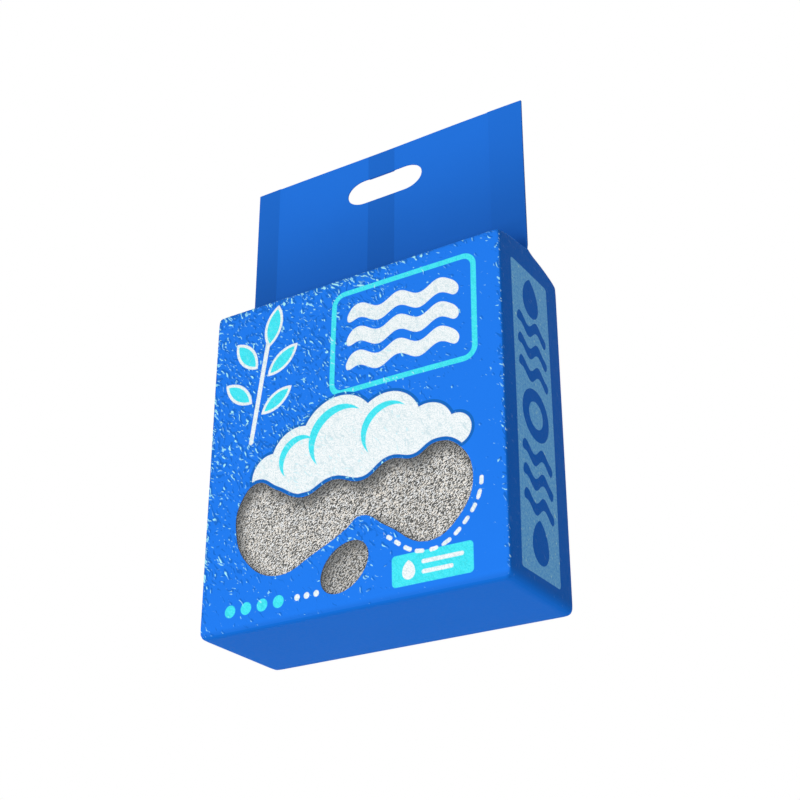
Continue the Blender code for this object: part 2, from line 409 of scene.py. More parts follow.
def soft_place(point, depth):
    """Moves a point of the flat-sided brick to the full bag's bulging skin."""
    across = point.x / HALF_WIDTH
    back = point.y / HALF_DEPTH
    climb = point.z / FRONT_HEIGHT
    over_height = 4 * climb * (1 - climb)
    side = SIDE_BULGE * (1 - back**2) * over_height
    face = (FRONT_BULGE if back < 0 else BACK_BULGE) * (1 - across**2) * over_height
    slack = SLACK_PANELS if back > ON_FACE or across < -ON_FLANK else 1
    inward = crease(point, depth * slack)
    tight = tight_end(point)
    across += math.copysign(tight * (1 - abs(across)), across)
    climb += tight * (1 - climb)
    off_ends = 1 - abs(2 * climb - 1) ** 8
    on_flank = 1 - inward * (1 - back**2) * (1 - abs(back) ** 6) * off_ends / HALF_WIDTH
    on_face = 1 - inward * (1 - abs(across) ** 6) * off_ends / HALF_DEPTH
    lift = inward * (1 - across**2) * (1 - back**2) * (1 - climb) ** 8
    tuck = corner_tuck(point)
    return Vector((
        across * (HALF_WIDTH + side - tuck) * (on_flank if abs(across) > ON_FLANK else 1),
        back * (HALF_DEPTH + face - tuck) * (on_face if abs(back) > ON_FACE else 1),
        climb * roof_height(back) + lift + (tuck if climb < 0.5 else -0.5 * tuck),
    ))


def soften(item, depth):
    for corner in item.data.vertices:
        corner.co = soft_place(corner.co, depth)
    item.data.update()


def panels_at(point):
    sides = set()
    if abs(point.x) > HALF_WIDTH - CLOSE:
        sides.add("left" if point.x < 0 else "right")
    if abs(point.y) > HALF_DEPTH - CLOSE:
        sides.add("front" if point.y < 0 else "back")
    if point.z < CLOSE:
        sides.add("bottom")
    if point.z > FRONT_HEIGHT - CLOSE:
        sides.add("top")
    return sides


def flat_brick(name):
    """The filled body with flat sides, divided evenly and with rounded folds."""
    size = (BODY_WIDTH, BODY_DEPTH, FRONT_HEIGHT)
    brick = add_divided_block(name, (0, 0, FRONT_HEIGHT / 2), size, BODY_CELLS)
    largest = max(FOLD_RADII.values())
    mesh = brick.data
    weights = mesh.attributes.new("bevel_weight_edge", "FLOAT", "EDGE")
    for edge in mesh.edges:
        ends = [mesh.vertices[end].co for end in edge.vertices]
        shared = panels_at(ends[0]) & panels_at(ends[1])
        weights.data[edge.index].value = FOLD_RADII.get(tuple(sorted(shared)), 0) / largest
    finish_with(brick, "BEVEL", limit_method="WEIGHT", width=largest, segments=4)
    return brick


def large_outline():
    """The large window's smooth outline as a list of corners, each as x and height."""
    curve = bpy.data.curves.new("large window outline", "CURVE")
    curve.dimensions = "2D"
    curve.fill_mode = "NONE"
    spline = curve.splines.new("BEZIER")
    spline.bezier_points.add(len(LARGE_WINDOW) - 1)
    for point, (x, z) in zip(spline.bezier_points, LARGE_WINDOW):
        point.co = (x, z, 0)
        point.handle_left_type = "AUTO"
        point.handle_right_type = "AUTO"
    spline.use_cyclic_u = True
    spline.resolution_u = OUTLINE_STEPS
    flat = add_object("large window outline", curve)
    bpy.context.view_layer.update()
    mesh = bpy.data.meshes.new_from_object(flat)
    points = [(corner.co.x, corner.co.y) for corner in mesh.vertices]
    bpy.data.meshes.remove(mesh)
    bpy.data.objects.remove(flat)
    return points


def small_outline():
    """The small window's oval as a list of corners, each as x and height."""
    middle_x, middle_z = SMALL_WINDOW_MIDDLE
    cosine, sine = math.cos(SMALL_WINDOW_TILT), math.sin(SMALL_WINDOW_TILT)
    points = []
    for step in range(OVAL_POINTS):
        turn = 2 * math.pi * step / OVAL_POINTS
        along = SMALL_WINDOW_LENGTH / 2 * math.cos(turn)
        aside = SMALL_WINDOW_WIDTH / 2 * math.sin(turn)
        points.append((middle_x + along * cosine - aside * sine, middle_z + along * sine + aside * cosine))
    return points


def window_outlines():
    return [large_outline(), small_outline()]


def hand_hole_outline():
    """A long hole with flattened round ends."""
    straight = HAND_HOLE_LENGTH / 2 - HAND_HOLE_END
    points = []
    for end in (1, -1):
        for step in range(HAND_HOLE_END_STEPS + 1):
            turn = -math.pi / 2 + math.pi * step / HAND_HOLE_END_STEPS
            points.append((
                end * (straight + HAND_HOLE_END * math.cos(turn)),
                HAND_HOLE_MIDDLE + end * HAND_HOLE_HEIGHT / 2 * math.sin(turn),
            ))
    return points


def box_of(points, margin):
    """The lowest and the highest x and height of some points, with a margin round them."""
    low = [min(point[axis] for point in points) - margin for axis in (0, 1)]
    high = [max(point[axis] for point in points) + margin for axis in (0, 1)]
    return low, high


def plug(points, front, back):
    """A straight plug in the shape of an outline, from one depth to another."""
    mesh = bpy.data.meshes.new("plug")
    mesh.from_pydata([(x, front, z) for x, z in points], [], [list(range(len(points)))])
    item = add_object("plug", mesh)
    select_only(item)
    bpy.ops.object.mode_set(mode="EDIT")
    bpy.ops.mesh.select_all(action="SELECT")
    bpy.ops.mesh.extrude_region_move(TRANSFORM_OT_translate={"value": (0, back - front, 0)})
    bpy.ops.mesh.select_all(action="SELECT")
    bpy.ops.mesh.normals_make_consistent(inside=False)
    bpy.ops.object.mode_set(mode="OBJECT")
    return item


def front_plug(points):
    return plug(points, -HALF_DEPTH - CUT_REACH, -HALF_DEPTH + CUT_REACH)


def outline_reach(points, places):
    """Distance of each place to a closed outline, negative inside, and the run along the outline there."""
    start = np.array(points)
    step = np.roll(start, -1, axis=0) - start
    length = np.hypot(step[:, 0], step[:, 1])
    before = np.concatenate(([0], np.cumsum(length)[:-1]))
    offset = places[:, None, :] - start[None]
    share = np.clip((offset * step).sum(2) / (length**2), 0, 1)
    gap = np.hypot(*np.moveaxis(offset - share[:, :, None] * step, 2, 0))
    nearest = gap.argmin(1)
    rows = np.arange(len(places))
    x, z = places[:, 0, None], places[:, 1, None]
    over = (start[:, 1] > z) != (start[:, 1] + step[:, 1] > z)
    slope = step[:, 0] / np.where(step[:, 1] == 0, 1e-12, step[:, 1])
    crossings = over & (x < start[:, 0] + (z - start[:, 1]) * slope)
    inside = crossings.sum(1) % 2 == 1
    distance = np.where(inside, -1, 1) * gap[rows, nearest]
    return distance, before[nearest] + share[rows, nearest] * length[nearest]


class Nodes:
    """Adds nodes to a material or a world and joins them up."""

    def __init__(self, owner):
        owner.use_nodes = True
        self.tree = owner.node_tree

    def put(self, socket, value):
        if isinstance(value, bpy.types.NodeSocket):
            self.tree.links.new(value, socket)
        elif hasattr(value, "__len__") and len(socket.default_value) == 4:
            socket.default_value = (*value, 1.0)[:4]
        else:
            socket.default_value = value

    def node(self, kind, *values, **settings):
        """Adds one node and fills its inputs in order."""
        node = self.tree.nodes.new(f"ShaderNode{kind}")
        for key, value in settings.items():
            setattr(node, key, value)
        for socket, value in zip(node.inputs, values):
            self.put(socket, value)
        return node

    def math(self, operation, *values, clamp=False):
        return self.node("Math", *values, operation=operation, use_clamp=clamp).outputs[0]

    def chain(self, operation, values):
        """Joins values one after the other by one operation."""
        result = values[0]
        for value in values[1:]:
            result = self.math(operation, result, value)
        return result

    def least(self, *values):
        return self.chain("MINIMUM", values)

    def most(self, *values):
        return self.chain("MAXIMUM", values)

    def times(self, *values):
        return self.chain("MULTIPLY", values)

    def less(self, value, other):
        return self.math("SUBTRACT", value, other)


class Shade(Nodes):
    """The nodes of one material. Places are in millimetres."""

    def __init__(self, name, roughness=0.4, specular=0.015):
        self.material = bpy.data.materials.new(name)
        super().__init__(self.material)
        self.shader = self.tree.nodes["Principled BSDF"]
        self.shader.inputs["Roughness"].default_value = roughness
        self.shader.inputs["Specular IOR Level"].default_value = specular
        self.place = self.vector("SCALE", self.node("TexCoord").outputs["Object"], scale=1000.0)
        self.x, self.y, self.z = self.apart(self.place)

    def line(self, value, slope, start, clamp=False):
        """The value times a slope, plus a start."""
        return self.math("MULTIPLY_ADD", value, slope, start, clamp=clamp)

    def off(self, value, middle):
        """How far a value is from a middle, either way."""
        return self.math("ABSOLUTE", self.less(value, middle))

    def vector(self, operation, *values, scale=None):
        node = self.node("VectorMath", *values, operation=operation)
        if scale is not None:
            self.put(node.inputs["Scale"], scale)
        return node.outputs["Value" if operation in ("DISTANCE", "LENGTH") else "Vector"]

    def apart(self, place):
        return self.node("SeparateXYZ", place).outputs

    def together(self, x, y, z=0.0):
        return self.node("CombineXYZ", x, y, z).outputs[0]

    def turned(self, place, angle):
        node = self.node("VectorRotate", place, rotation_type="Z_AXIS")
        self.put(node.inputs["Angle"], angle)
        return node.outputs[0]

    def bent(self, place, by, scale, reach):
        """A place that is pushed about by soft noise."""
        push = self.vector("SUBTRACT", self.grain(by, scale, colour=True), (0.5, 0.5, 0.5))
        return self.vector("ADD", place, self.vector("SCALE", push, scale=reach))

    def mix(self, factor, first, second):
        node = self.node("Mix", factor, data_type="RGBA")
        self.put(node.inputs[6], first)
        self.put(node.inputs[7], second)
        return node.outputs[2]

    def ramp(self, value, low, high, start=0.0, end=1.0):
        node = self.node("MapRange", value, low, high, start, end, interpolation_type="SMOOTHSTEP")
        return node.outputs[0]

    def grain(self, place, scale, detail=2.0, rough=0.5, colour=False):
        """Soft noise. A scale of three numbers stretches it."""
        if isinstance(scale, tuple):
            place, scale = self.vector("MULTIPLY", place, scale), 1.0
        node = self.node("TexNoise", place)
        for key, value in (("Scale", scale), ("Detail", detail), ("Roughness", rough)):
            self.put(node.inputs[key], value)
        return node.outputs["Color" if colour else 0]

    def cells(self, place, scale):
        node = self.node("TexVoronoi", place)
        self.put(node.inputs["Scale"], scale)
        return node.outputs["Distance"], node.outputs["Color"]

    def attribute(self, name):
        return self.node("Attribute", attribute_name=name).outputs["Fac"]

    def inked(self, distance, softness=0.25):
        """1 inside a shape and 0 outside it, with a soft edge."""
        return self.line(distance, -0.5 / softness, 0.5, clamp=True)

    def disc(self, flat, x, z, radius):
        return self.less(self.vector("DISTANCE", flat, (x, z, 0)), radius)

    def outline_of(self, distance, width):
        return self.less(self.math("ABSOLUTE", distance), width / 2)

    def outside(self, distance):
        return self.times(distance, -1.0)

    def panel(self, flat, x, z, half_width, half_height, radius, turn=0.0):
        moved = self.vector("SUBTRACT", flat, (x, z, 0))
        if turn:
            moved = self.turned(moved, -turn)
        straight = (half_width - radius, half_height - radius, 0)
        out = self.vector("SUBTRACT", self.vector("ABSOLUTE", moved), straight)
        out = self.vector("MAXIMUM", out, (0, 0, 0))
        return self.less(self.vector("LENGTH", out), radius)

    def leaf(self, flat, x, z, length, width, degrees):
        """A pointed leaf, where two discs overlap."""
        radius = (length**2 + width**2) / (4 * width)
        shift, angle = radius - width / 2, math.radians(degrees)
        dx, dz = -math.sin(angle) * shift, math.cos(angle) * shift
        return self.most(self.disc(flat, x + dx, z + dz, radius), self.disc(flat, x - dx, z - dz, radius))

    def drop(self, flat, x, z, radius):
        """A round drop with its tip up."""
        wide = radius * 1.9
        tip = self.most(
            self.disc(flat, x + wide - radius, z, wide),
            self.disc(flat, x - wide + radius, z, wide),
            self.less(z, self.z),
        )
        return self.least(self.disc(flat, x, z, radius), tip)

    def wavy_bars(self, across, rate, swing, x, z, half_length, half_height, half_pitch, half_stack):
        """A stack of wavy bars with round ends."""
        row = self.line(self.math("SINE", self.times(across, rate)), -swing, self.z)
        near_row = self.math("WRAP", row, z + half_pitch, z - half_pitch)
        bars = self.panel(self.together(across, near_row), x, z, half_length, half_height, half_height)
        return self.most(bars, self.less(self.off(row, z), half_stack))

    def beads(self, flat, half_pitch, radius, x, half_row):
        """A row of beads."""
        near_bead = self.together(self.math("WRAP", self.x, half_pitch, -half_pitch), self.z)
        bead = self.panel(near_bead, 0, BEAD_HEIGHT, radius, radius, radius)
        return self.most(bead, self.panel(flat, x, BEAD_HEIGHT, half_row, 8, 1))

    def bump(self, height, strength, distance):
        node = self.node("Bump", strength, distance)
        self.put(node.inputs["Height"], height)
        self.put(self.shader.inputs["Normal"], node.outputs[0])

    def finish(self, colour, roughness):
        self.put(self.shader.inputs["Base Color"], colour)
        self.put(self.shader.inputs["Roughness"], roughness)
        return self.material


def painted_glint_strokes(shade, flat, glint_stroke, amount, seed):
    """Short winding strokes of painted glints or of their painted shade: returns how strongly each place is
    covered.
    """
    slant, length, width = glint_stroke
    turned = shade.turned(shade.bent(flat, flat, 0.07, 11.0), slant)
    cell = shade.vector("MULTIPLY_ADD", turned, (1 / length, 1 / width, 0), (seed, seed * 1.7, seed * 0.6))
    height = shade.grain(cell, 1.0, 1.0)
    least = shade.line(amount, -0.22, 0.78)
    return shade.ramp(height, least, shade.math("ADD", least, 0.09))


def painted_foot_shade(shade):
    """Painted shade round the front's bottom fold, on the panel and under it."""
    under = shade.most(shade.math("ADD", shade.y, HALF_DEPTH * 1000), 0.0)
    round_fold = shade.less(shade.z, under)
    above = shade.ramp(round_fold, 6.5, 1.0)
    below = shade.times(shade.ramp(round_fold, -6.5, -1.5), shade.ramp(shade.z, 11.0, 7.0))
    on_front = shade.ramp(shade.x, -125.0, -123.0)
    return shade.line(shade.times(shade.times(above, below), on_front), -0.18, 1.0)


def film_colour(shade, blue, tone):
    """The blue ink with its faint clouding, times a tone that carries painted shade."""
    cloud = shade.line(shade.grain(shade.place, 0.02, 3.0), 0.06, 0.97)
    return shade.vector("SCALE", blue, scale=shade.times(cloud, tone))


def film_roughness(shade):
    return shade.line(shade.grain(shade.place, 0.35, 4.0), 0.24, 0.34)


def plain_film(looks):
    """Film of the left side, the back, the bottom and the gable, with faint wrinkles."""
    shade = Shade("plain blue film")
    around = shade.math("ADD", shade.x, shade.y)
    bent = shade.bent(shade.together(around, shade.z), shade.place, 0.02, 40.0)
    wide = shade.grain(shade.turned(bent, 0.9), (0.012, 0.035, 0.0))
    ridges = shade.ramp(shade.off(wide, 0.5), 0.0, 0.05)
    above_foot = shade.ramp(shade.z, 6.0, 26.0)
    wrinkle = shade.times(above_foot, shade.line(ridges, 0.35, shade.times(wide, 1.6)))
    skin = shade.grain(shade.place, 1.3)
    shade.bump(shade.line(skin, 0.06, wrinkle), 0.4, 0.0016)
    # The bottom's film carries the painted shade round the front's bottom fold
    return shade.finish(film_colour(shade, looks.shaded_blue, painted_foot_shade(shade)), film_roughness(shade))


def sheet_film(looks):
    """Film of the carrying sheet: darker where no litter lies behind it and where it is folded over, with
    painted shade that deepens towards its root and painted light at the lower right end of its front.
    """
    shade = Shade("carrying sheet film")
    left_fold, right_fold = (LEFT_FOLD_WIDTH - HALF_WIDTH) * 1000, (HALF_WIDTH - RIGHT_FOLD_WIDTH) * 1000
    seam_left, seam_right = SEAM_LEFT * 1000, SEAM_RIGHT * 1000
    folded = shade.most(
        shade.ramp(shade.x, left_fold, left_fold - 0.4),
        shade.times(
            shade.ramp(shade.x, seam_left - 0.3, seam_left + 0.3),
            shade.ramp(shade.x, seam_right + 0.3, seam_right - 0.3),
        ),
        shade.times(shade.ramp(shade.x, right_fold, right_fold + 0.4), 0.35),
    )
    # Darker overall, with painted shade that deepens down towards the root
    darkness_and_painted_shade = shade.ramp(shade.z, 270.0, 404.0, 0.54, 0.84)
    # Painted light on the front, at the lower right end by the shoulder
    painted_light_at_right_end = shade.times(
        shade.ramp(shade.x, 88.0, 124.0),
        shade.ramp(shade.z, 300.0, 268.0),
        shade.ramp(shade.y, 0.1, -0.1),
    )
    tone = shade.times(darkness_and_painted_shade, shade.line(folded, -0.155, 1.0), shade.line(painted_light_at_right_end, 0.6, 1.0))
    wrinkle = shade.grain(shade.place, (0.05, 0.05, 0.02), 3.0)
    shade.bump(shade.line(shade.grain(shade.place, 1.3), 0.1, wrinkle), 0.3, 0.0012)
    colour = shade.vector("ADD", film_colour(shade, looks.film_blue, tone), (0.0035, 0.0035, 0.0035))
    return shade.finish(colour, film_roughness(shade))


def front_print(shade, flat):
    """Distance of each place to the front's shapes, by ink."""
    off_window = shade.times(shade.attribute("off_window"), 1000.0)
    along_window = shade.times(shade.attribute("along_window"), 1000.0)
    clouds = shade.least(shade.panel(flat, *CLOUD_BAND), *[shade.disc(flat, *disc) for disc in CLOUD_DISCS])
    clouds = shade.most(clouds, shade.less(CLOUD_OFF_WINDOW, off_window))
    curls = [
        shade.most(shade.disc(flat, *outer), shade.outside(shade.disc(flat, *inner)))
        for outer, inner in CLOUD_CURLS
    ]
    frame_line = shade.outline_of(shade.panel(flat, *FRAME), FRAME_LINE)
    waves = shade.wavy_bars(shade.x, *FRONT_WAVES)
    stem = shade.panel(flat, *STEM)
    leaves = shade.least(*[shade.leaf(flat, *leaf) for leaf in LEAVES])
    badge = shade.panel(flat, *BADGE)
    badge_drop = shade.drop(flat, *BADGE_DROP)
    bars = shade.least(*[shade.panel(flat, *bar) for bar in BADGE_BARS])
    beads = shade.beads(flat, *CYAN_BEADS)
    white_beads = shade.beads(flat, *WHITE_BEADS)
    near_stitch = shade.math("WRAP", along_window, STITCH_HALF_PITCH, -STITCH_HALF_PITCH)
    stitches = shade.most(
        shade.panel(shade.together(near_stitch, off_window), *STITCH),
        shade.panel(flat, *STITCHED),
        shade.less(STITCHED_FROM, shade.x),
    )
    white = shade.least(clouds, waves, stem, leaves, white_beads, stitches)
    return {
        "cyan": shade.least(frame_line, badge, beads),
        "cloud edge": shade.less(clouds, CLOUD_EDGE),
        "white": white,
        "white on cyan": shade.least(badge_drop, bars),
        "cyan on white": shade.least(shade.math("ADD", leaves, LEAF_EDGE), shade.least(*curls)),
        "painted": shade.least(white, badge),
    }


def front_glints_and_shade(shade, flat):
    """How strongly the painted glints, the painted shade beside them and the painted crumple shade cover
    each place.
    """
    patches = shade.grain(shade.together(shade.x, shade.z, 40.0), 0.018)
    # Painted glints gather to the upper left and along the folds, and thin out to the right and towards the
    # floor
    to_right = shade.ramp(shade.x, 0.0, 100.0)
    to_floor = shade.ramp(shade.z, 60.0, 12.0)
    thin_out = shade.line(to_right, 0.36, shade.times(to_floor, 0.24))
    painted_light_at_folds = shade.most(
        shade.times(shade.ramp(shade.x, -118.0, -124.5), 0.36),
        shade.times(shade.ramp(shade.z, 252.0, 261.0), 0.36),
        shade.times(shade.ramp(shade.x, 119.5, 124.5), 0.46),
    )
    amount = shade.less(shade.line(patches, 0.35, 0.41), thin_out)
    amount = shade.math("ADD", painted_light_at_folds, shade.most(amount, 0.08))
    fine = painted_glint_strokes(shade, flat, FINE_GLINT, amount, 11.0)
    painted_glints = shade.most(painted_glint_strokes(shade, flat, LONG_GLINT, amount, 3.0), shade.times(fine, 0.75))
    # Painted shade: the same strokes, shifted down and to the left of the glints
    beside = shade.vector("ADD", flat, (-1.0, -0.6, 0))
    shadows = painted_glint_strokes(shade, beside, LONG_GLINT, shade.times(amount, 1.95), 3.0)
    crumple_shade = painted_glint_strokes(shade, beside, LONG_GLINT, 0.85, 21.0)
    return painted_glints, shadows, crumple_shade


def front_film(looks):
    """Film of the front panel with its print, its painted glints, and the painted shade beside them and in
    its crumples.
    """
    shade = Shade("printed front film")
    flat = shade.together(shade.x, shade.z)
    shapes = front_print(shade, flat)
    painted_glints, shadows, crumple_shade = front_glints_and_shade(shade, flat)
    mottled = shade.grain(flat, 0.9, 3.0, 0.65)
    # Ridged noise for the painted crease shade on the print
    slope = shade.grain(shade.turned(flat, 0.7), (0.10, 0.21, 0.0), 3.0, 0.6)
    crease_shade = shade.ramp(shade.off(slope, 0.5), 0.045, 0.0)

    # The front's blue carries the painted shade round its bottom fold
    blue = film_colour(shade, looks.film_blue, painted_foot_shade(shade))
    # Painted shade beside the painted glints
    blue = shade.mix(shade.times(shadows, 0.72), blue, (0.008, 0.13, 0.56))
    white = shade.mix(shade.ramp(mottled, 0.34, 0.58), (0.68, 0.81, 0.85), looks.white_ink)
    # Painted crumple and crease shade on the white and the cyan print
    white = shade.mix(shade.times(crumple_shade, 0.55), white, (0.56, 0.73, 0.79))
    white = shade.mix(shade.times(crease_shade, 0.42), white, (0.58, 0.73, 0.78))
    cyan = shade.mix(shade.ramp(mottled, 0.35, 0.7), looks.cyan_ink, (0.10, 0.86, 0.95))
    cyan = shade.mix(shade.times(shade.most(crease_shade, crumple_shade), 0.4), cyan, (0.03, 0.60, 0.68))

    colour = blue
    for shape, ink in (
        ("cyan", cyan),
        ("cloud edge", (0.010, 0.14, 0.53)),
        ("white", white),
        ("white on cyan", white),
        ("cyan on white", cyan),
    ):
        colour = shade.mix(shade.inked(shapes[shape]), colour, ink)
    # Painted glints, fainter on thick ink
    thick_ink = shade.times(shade.inked(shapes["painted"]), 0.6)
    colour = shade.mix(shade.times(painted_glints, shade.less(1.0, thick_ink)), colour, (0.41, 0.90, 1.0))

    skin = shade.times(shade.grain(flat, 0.7, 3.0), 0.5)
    shade.bump(shade.line(painted_glints, 0.6, skin), 0.35, 0.0006)
    return shade.finish(colour, shade.line(painted_glints, -0.12, film_roughness(shade)))


def side_film(looks):
    """Film of the right side with its pale panel, in which drops, waves and a ring are left blue. It
    carries painted glints, a painted highlight along the gable's top fold and painted shade on its blue
    film.
    """
    shade = Shade("printed side film")
    flat = shade.together(shade.y, shade.z)
    knocked_out = shade.least(
        *[shade.drop(flat, *drop) for drop in SIDE_DROPS],
        shade.wavy_bars(shade.y, *UPPER_SIDE_WAVES),
        shade.wavy_bars(shade.y, *LOWER_SIDE_WAVES),
        shade.outline_of(shade.disc(flat, *SIDE_RING), SIDE_RING_LINE),
    )
    pane = shade.inked(shade.most(shade.panel(flat, *SIDE_PANE), shade.outside(knocked_out)))
    coarse = shade.times(shade.grain(flat, 0.5, 3.0, 0.6), 0.55)
    mottled = shade.line(shade.grain(flat, 1.1, 2.0, 0.6), 0.45, coarse)
    pale = shade.mix(shade.ramp(mottled, 0.36, 0.64), looks.band_ink, (0.26, 0.63, 1.0))
    # Painted shade darkens the side's blue film, less near the bottom fold
    tone = shade.ramp(shade.z, 1.0, 9.5, 1.0, SIDE_PAINTED_SHADE)
    colour = shade.mix(pane, film_colour(shade, looks.shaded_blue, tone), pale)

    # Painted glints on the pale panel and along the front fold
    highlight_at_fold = shade.ramp(shade.y, -42.5, -45.5)
    painted_glints = painted_glint_strokes(shade, flat, SIDE_GLINT, shade.line(highlight_at_fold, 0.35, 0.44), 7.0)
    strength = shade.times(painted_glints, shade.line(shade.most(pane, highlight_at_fold), 0.8, 0.08))
    colour = shade.mix(strength, colour, (0.55, 0.9, 1.0))

    # A painted highlight along the top fold of the gable's front half
    drop_off = shade.times(shade.math("ABSOLUTE", shade.y), (RIDGE_HEIGHT - FRONT_HEIGHT) / HALF_DEPTH)
    below_rim = shade.less(shade.less(RIDGE_HEIGHT * 1000, drop_off), shade.z)
    rim_highlight = shade.times(shade.ramp(below_rim, 1.8, 0.4), shade.ramp(shade.y, 2.0, -2.0))
    colour = shade.mix(shade.times(rim_highlight, 0.5), colour, (0.03, 0.26, 0.92))
    shade.bump(shade.line(painted_glints, 0.5, shade.grain(shade.place, 0.7, 3.0)), 0.3, 0.0006)
    return shade.finish(colour, film_roughness(shade))


def add_window_distances(item, outlines):
    """Keeps, at each corner of the mesh, how far it is from the nearest window and where along it."""
    mesh = item.data
    count = len(mesh.vertices)
    places = np.zeros(count * 3)
    mesh.vertices.foreach_get("co", places)
    places = places.reshape(-1, 3)
    distance, along = np.full(count, FAR), np.zeros(count)
    front = np.nonzero(places[:, 1] < WINDOW_SIDE)[0]
    for points in outlines:
        gap, run = outline_reach(points, places[front][:, [0, 2]])
        nearer = gap < distance[front]
        distance[front] = np.where(nearer, gap, distance[front])
        along[front] = np.where(nearer, run, along[front])
    keep_values(mesh, "off_window", distance)
    keep_values(mesh, "along_window", along)


def make_body(outlines, depth):
    """The filled body's film, with an opening for each window."""
    body = flat_brick("printed_film_bag")
    for points in outlines:
        cut_with(body, "DIFFERENCE", front_plug(points))
    low, high = box_of(sum(outlines, []), 1e-4)

    def in_pocket(middle):
        return (
            -HALF_DEPTH + CLOSE < middle.y < -HALF_DEPTH + CUT_REACH + CLOSE
            and low[0] < middle.x < high[0]
            and low[1] < middle.z < high[1]
        )

    delete_faces(body, in_pocket)
    refine(body)
    soften(body, depth)
    return body


def step_out(sheet, low, high, side, rise):
    """Moves a strip of one face of the sheet out, where more layers lie in it."""
    change_faces(
        sheet,
        lambda face: low < face.calc_center_median().x < high and face.normal.y * side > 0.9,
        lambda: bpy.ops.transform.translate(value=(0, side * rise, 0)),
    )


def make_sheet():
    """The flat carrying sheet: two layers of film, with thicker bands where it is folded over."""
    bottom = RIDGE_HEIGHT - SHEET_ROOT
    height = SHEET_TOP - bottom
    left, right = -HALF_WIDTH + LEFT_FOLD_WIDTH, HALF_WIDTH - RIGHT_FOLD_WIDTH
    lap_left, lap_right = SEAM_LEFT + LAYER_STEP, SEAM_RIGHT - LAYER_STEP
    sheet = add_cube("carrying_sheet", (0, 0, (SHEET_TOP + bottom) / 2), (BODY_WIDTH, 2 * FILM, height))
    divide(sheet, 0, [left, left + LAYER_STEP, SEAM_LEFT, lap_left])
    divide(sheet, 0, [lap_right, SEAM_RIGHT, right - LAYER_STEP, right])
    for low, high in ((-HALF_WIDTH, left), (right, HALF_WIDTH)):
        for side in (-1, 1):
            step_out(sheet, low, high, side, FILM)
    step_out(sheet, lap_left, lap_right, 1, 2 * FILM)
    cut_with(sheet, "DIFFERENCE", plug(hand_hole_outline(), -CUT_REACH, CUT_REACH))
    divide(sheet, 0, spread(-HALF_WIDTH, HALF_WIDTH, SHEET_CELLS[0]))
    divide(sheet, 2, spread(bottom, SHEET_TOP, SHEET_CELLS[1]))
    divide(sheet, 2, [RIDGE_HEIGHT - FILM])
    for corner in sheet.data.vertices:
        free = (corner.co.z - bottom) / height
        sunk = max(0.0, RIDGE_HEIGHT + FILM - corner.co.z)
        corner.co.x *= 1 - min(SHEET_ROOT_INSET, 0.7 * sunk) / HALF_WIDTH
        corner.co.y += SHEET_WAVE * free * noise.noise(Vector((corner.co.x * 9, 3, corner.co.z * 7)))
    return sheet


def make_back_seam(body):
    """The lap seam, as a strip of the back panel and back slope that stands out."""
    seam = copy_of(body, "back_seam")
    divide(seam, 0, [SEAM_LEFT, SEAM_RIGHT])
    divide(seam, 1, [0.0])

    def off_strip(middle):
        return not (SEAM_LEFT < middle.x < SEAM_RIGHT and middle.y > 0 and middle.z > SEAM_FOOT)

    delete_faces(seam, off_strip)
    finish_with(seam, "SOLIDIFY", thickness=2 * FILM, offset=1.0, use_even_offset=True)
    return seam


def assign_films(item, looks):
    """Gives each panel its own film by its place and the way it faces."""
    for film in (plain_film(looks), front_film(looks), side_film(looks), sheet_film(looks)):
        item.data.materials.append(film)
    for face in item.data.polygons:
        middle, facing = face.center, face.normal
        at_root = abs(middle.y) < ROOT_FILM_DEPTH and middle.z > RIDGE_HEIGHT - ROOT_FILM_BELOW_RIDGE
        if middle.z > RIDGE_HEIGHT + SHEET_FILM_ABOVE_RIDGE or at_root and abs(facing.y) > 0.9:
            face.material_index = 3
        elif middle.y < FRONT_FILM_FROM and abs(facing.y) > 0.7:
            face.material_index = 1
        elif middle.x > SIDE_FILM_FROM and abs(facing.x) >= 0.7:
            face.material_index = 2


class LITTERBAG_OT_film(bpy.types.Operator):
    """Makes the printed film bag with its carrying sheet and back seam"""

    bl_idname = "litter_bag.film"
    bl_label = "Film Bag"

    def execute(self, context):
        looks = context.scene.litter_bag
        outlines = window_outlines()
        bag = make_body(outlines, looks.crease_depth)
        seam = make_back_seam(bag)
        finish_with(bag, "SOLIDIFY", thickness=FILM, offset=-1.0, use_even_offset=True)
        sheet = make_sheet()
        select_only(bag, sheet, seam)
        bpy.ops.object.join()
        bag.data.materials.clear()
        assign_films(bag, looks)
        add_window_distances(bag, outlines)
        smooth_by_angle(bag, 32)
        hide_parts("film_bag")
        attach(bag, "root")
        return {"FINISHED"}


def clear_film():
    shade = Shade("clear window film", roughness=0.12, specular=0.5)
    shade.shader.inputs["Alpha"].default_value = 0.04
    shade.bump(shade.grain(shade.place, (0.04, 0.04, 0.07)), 0.4, 0.002)
    rough = shade.line(shade.grain(shade.place, 0.3, 3.0), 0.12, 0.08)
    colour = shade.mix(shade.grain(shade.place, 0.05), (0.80, 0.88, 0.93), (0.90, 0.94, 0.96))
    return shade.finish(colour, rough)


